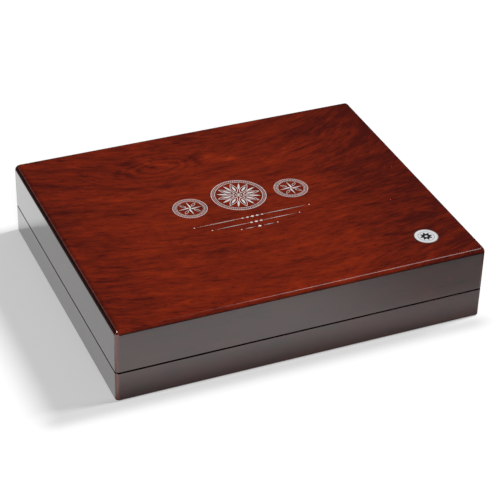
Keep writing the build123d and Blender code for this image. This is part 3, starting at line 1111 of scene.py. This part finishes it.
def print_on_lid(name, bm, material):
    printed(name, bm, material, node_box("lid_top_panel")[1].z + PRINT_THICK, PRINT_THICK)


def print_medallion(material):
    """The large medallion: a reeded rim round an eight-petal rosette."""
    bm = bmesh.new()
    centre = MEDALLION_CENTRE
    add_coin_edge(bm, centre, MEDALLION_RADIUS, MEDALLION_LINES, MEDALLION_REEDS)
    for turn in turns(PETAL_COUNT):
        add_petal_line(bm, centre, turn, OPEN_PETAL, OPEN_PETAL_LINE)
        add_shape(bm, centre, turn, petal(*PETAL_HEART))
        add_shape(bm, centre, turn + math.pi / PETAL_COUNT, petal(*THIN_PETAL))
    add_ring(bm, centre, *EYE_RING, count=48)
    add_disc(bm, centre, EYE_RADIUS, count=32)
    print_on_lid("print_medallion", bm, material)


def print_coin(name, centre, material):
    """A small coin: a reeded rim round a four-pointed star."""
    bm = bmesh.new()
    add_coin_edge(bm, centre, COIN_RADIUS, COIN_LINES, COIN_REEDS)
    for turn in turns(COIN_POINTS):
        add_shape(bm, centre, turn, [(0.0, 0.0), (STAR_WAIST, -STAR_WAIST), (STAR_LENGTH, 0.0)])
        add_petal_line(bm, centre, turn + math.pi / COIN_POINTS, COIN_PETAL, COIN_PETAL_LINE)
    print_on_lid(name, bm, material)


def print_border(material):
    """Ornamental rules under the medallion."""
    bm = bmesh.new()
    for y, half, diamonds in PRINT_RULES:
        for side in (-1, 1):
            add_shape(bm, (side * half / 2, y), 0.0, diamond(half / 2 - RULE_GAP, RULE_HALF_HEIGHT))
            add_disc(bm, (side * (half - RULE_DOT_INSET), y), RULE_DOT_RADIUS, count=20)
        for place in range(-diamonds, diamonds + 1):
            sizes = (size - less * abs(place) for size, less in zip(DIAMOND_HALF, DIAMOND_TAPER))
            add_shape(bm, (place * DIAMOND_PITCH, y), 0.0, diamond(*sizes))
    print_on_lid("print_border", bm, material)


def badge_mark(centre, top, material):
    """A dark eight-petal rosette, let into the badge."""
    bm = bmesh.new()
    for turn in turns(PETAL_COUNT):
        add_shape(bm, centre, turn, petal(*MARK_PETAL))
    add_ring(bm, centre, *MARK_RING, count=64)
    printed("badge_mark", bm, material, top - BADGE_DISH + MARK_PROUD, MARK_THICK)


# Stage


def make_camera():
    data = bpy.data.cameras.new("camera")
    data.lens = CAMERA_LENS
    data.sensor_width = CAMERA_SENSOR
    data.clip_start = 0.01
    data.clip_end = 50.0
    camera = bpy.data.objects.new("camera", data)
    camera.location = Vector(CAMERA_PLACE) * MM
    camera.rotation_euler = [math.radians(angle) for angle in (CAMERA_TILT, CAMERA_ROLL, CAMERA_TURN)]
    bpy.context.scene.collection.objects.link(camera)
    bpy.context.scene.camera = camera


def reflected_light(g, towards, azimuth, height, half_width, half_height, softness, strength):
    """Strength of one soft rectangular light in the direction of a ray."""
    x, y, z = towards
    azimuth = math.radians(azimuth)
    ahead = g.add(g.times(x, math.cos(azimuth)), g.times(y, math.sin(azimuth)))
    beside = g.add(g.times(x, -math.sin(azimuth)), g.times(y, math.cos(azimuth)))
    turn = g.math("ABSOLUTE", g.math("DEGREES", g.math("ARCTAN2", beside, ahead)))
    rise = g.math("ABSOLUTE", g.add(g.math("DEGREES", g.math("ARCSINE", z)), -height))
    across = g.fall(turn, half_width - softness, half_width + softness)
    along = g.fall(rise, half_height - softness, half_height + softness)
    return g.times(across, along, strength)


def make_world():
    """White to the camera, dim to everything else, with small lights that show only as reflections."""
    world = bpy.data.worlds.new("studio")
    bpy.context.scene.world = world
    g = Graph(world)
    g.tree.nodes.clear()
    towards = g.split(g.coordinates("Generated"))
    lights = g.add(*(reflected_light(g, towards, *light) for light in REFLECTED_LIGHTS))
    rays = g.node("LightPath")
    first_bounce = g.math("LESS_THAN", rays.outputs["Ray Depth"], FIRST_REFLECTION_DEPTH)
    reflected = g.times(lights, rays.outputs["Is Glossy Ray"], first_bounce)
    ambient = g.between(rays.outputs["Is Diffuse Ray"], STUDIO_DARK, AMBIENT)
    seen = rays.outputs["Is Camera Ray"]
    unseen = g.math("SUBTRACT", 1.0, seen)
    strength = g.add(seen, g.times(unseen, g.add(reflected, ambient)))
    g.node("OutputWorld", g.node("Background", WHITE, strength).outputs[0])


def sun(name, towards, share, angle):
    """A far lamp that gives a level floor the share of plain light and shows in no reflection."""
    direction = Vector(towards).normalized()
    lamp = bpy.data.lights.new(name, "SUN")
    lamp.energy = share * math.pi / direction.z
    lamp.angle = math.radians(angle)
    holder = bpy.data.objects.new(name, lamp)
    holder.rotation_euler = direction.to_track_quat("Z", "Y").to_euler()
    holder.visible_glossy = False
    bpy.context.scene.collection.objects.link(holder)


def mirrored_share(g, x, y):
    """Share of the floor's light that reflections show, as painted shade: less before the case and towards
    the right, and painted dark past limits round the case.
    """
    past_left_side = g.spread(x, *FLOOR_LEFT_SIDE)
    before_front = g.fall(y, *FLOOR_FRONT_SIDE)
    towards_right = g.spread(x, *FLOOR_RIGHT_REACH, FLOOR_FRONT_SHARE, FLOOR_RIGHT_SHARE)
    front = g.between(g.fall(y, *FLOOR_FAR_REACH), FLOOR_FRONT_SHARE, towards_right)
    front = g.times(front, g.spread(y, *FLOOR_FRONT_REACH, 1.0, FLOOR_NEAR_SHARE))
    farther = g.times(before_front, -MIRRORED_DARK_RIGHT_SHIFT)
    # Painted dark in reflections, past limits behind, right of, left of and before the case.
    ends = (
        g.times(g.spread(y, *MIRRORED_DARK_BEHIND), past_left_side),
        g.spread(g.add(x, farther), *MIRRORED_DARK_RIGHT),
        g.times(g.fall(x, *MIRRORED_DARK_LEFT), g.spread(y, *MIRRORED_DARK_LEFT_FROM)),
        g.times(g.fall(y, *MIRRORED_DARK_FRONT), g.spread(x, *MIRRORED_DARK_FRONT_FROM)),
    )
    beyond = ends[0]
    for end in ends[1:]:
        beyond = g.math("MAXIMUM", beyond, end)
    share = g.between(g.times(past_left_side, before_front), 1.0, front)
    return g.times(share, g.between(beyond, 1.0, MIRRORED_DARK_SHARE))


def painted_soft_shadow(g, x, y):
    """The painted shadow, a soft dark line along the front of the case, as an amount of light."""
    line = g.bell(g.offset(y, PAINTED_SHADOW_PLACE, PAINTED_SHADOW_WIDTH))
    return g.times(line, g.spread(x, *PAINTED_SHADOW_LEFT), g.fall(x, *PAINTED_SHADOW_RIGHT), -PAINTED_SHADOW_DEPTH)


def floor_paper():
    """White paper that looks different to the camera and in reflections."""
    g = Graph(bpy.data.materials.new("floor"))
    g.tree.nodes.clear()
    x, y, _ = grain_places(g)
    rays = g.node("LightPath")
    seen, mirrored = rays.outputs["Is Camera Ray"], rays.outputs["Is Glossy Ray"]
    # Reflections see the floor with painted shade, and with a glow scaled by the same share.
    share = mirrored_share(g, x, y)
    shaded = g.times(g.between(mirrored, 1.0, share), FLOOR_COLOUR)
    level = g.add(shaded, g.times(seen, FLOOR_SEEN_COLOUR - FLOOR_COLOUR))
    # The camera sees the floor glow evenly, less the painted shadow along the case's front.
    seen_glow = g.times(seen, g.add(FLOOR_CAMERA_GLOW, painted_soft_shadow(g, x, y)))
    glow = g.add(seen_glow, g.times(mirrored, share, FLOOR_GLOSSY_GLOW))
    diffuse = g.node("BsdfDiffuse", g.vector(level, level, level))
    emission = g.node("Emission", WHITE, glow)
    both = g.node("AddShader", diffuse.outputs[0], emission.outputs[0])
    g.node("OutputMaterial", both.outputs[0])
    return g.owner


def make_floor():
    bm = bmesh.new()
    bmesh.ops.create_grid(bm, x_segments=1, y_segments=1, size=FLOOR_HALF)
    mesh = finished_mesh("floor", bm)
    mesh.materials.append(floor_paper())
    floor = bpy.data.objects.new("floor", mesh)
    bpy.context.scene.collection.objects.link(floor)


bpy.context.scene.view_settings.view_transform = "Standard"
make_camera()
make_world()
sun("key", KEY_TOWARDS, KEY_SHARE, KEY_ANGLE)
sun("fill", FILL_TOWARDS, FILL_SHARE, FILL_ANGLE)
make_floor()

long_wood = lacquered_mahogany("mahogany_long")
cross_wood = lacquered_mahogany("mahogany_cross", along_y=True)
velour = pile_cloth("velour", VELOUR_DEEP, VELOUR_LIGHT, 0.55, VELOUR_TINT)
felt = pile_cloth("felt", FELT_DEEP, FELT_LIGHT, 0.25, FELT_TINT)
satin = woven_satin("satin", SATIN_DARK, SATIN_LIGHT, SATIN_THREAD, gathered=True)
ribbon_satin = woven_satin("ribbon", RIBBON_DARK, RIBBON_LIGHT, RIBBON_THREAD, ribs=RIBBON_RIBS)
brass = worn_metal("brass", BRASS, BRASS_DULL, roughness=0.21, metallic=0.65)
nickel = worn_metal("nickel", NICKEL, NICKEL_DULL, roughness=0.19, metallic=0.7)
silver_print = printing_ink("silver_print", INK_SILVER, INK_SILVER_THIN, roughness=(0.39, 0.51))
dark_enamel = printing_ink("dark_enamel", INK_DARK, INK_DARK_THIN, roughness=(0.24, 0.36))
tray_wood = tray_mahogany("tray_mahogany")
tray_floor = plywood("tray_floor", cloth_on_top=True)
badge_low, badge_high = node_box("lid_badge")
badge_centre = (badge_low + badge_high) / 2

dress(lacquered_mahogany("mahogany_panel", panel=True), "lid_top_panel")
for half in ("base", "lid"):
    dress(long_wood, f"{half}_front_board", f"{half}_back_board")
    dress(cross_wood, f"{half}_left_board", f"{half}_right_board")
dress(spun_silver("silver", badge_centre), "lid_badge")
dress(plywood("plywood", cloth_on_top=False), "base_bottom_panel")
dress(velour, *(f"base_{side}_liner" for side in SIDES))
for tray in (1, 2, 3):
    dress(tray_wood, f"tray_{tray}_rim")
    dress(tray_floor, f"tray_{tray}_floor")
    dress(velour, f"tray_{tray}_insert")
for side in ("left", "right"):
    for part in ("pin", "base_leaf", "base_screws", "lid_leaf", "lid_screws"):
        dress(brass, f"{side}_hinge_{part}")
dress(nickel, "base_magnets", "lid_magnets")

lining("base_felt", "base", felt)
lining("base_floor_lining", "base", velour)
for side in SIDES:
    lining(f"lid_{side}_lining", "lid", velour)
make_pad(satin)
for tray in (1, 2, 3):
    make_ribbons(tray, ribbon_satin)
print_medallion(silver_print)
for side, centre in COIN_CENTRES.items():
    print_coin(f"print_{side}_coin", centre, silver_print)
print_border(silver_print)
badge_mark(badge_centre, badge_high.z, dark_enamel)
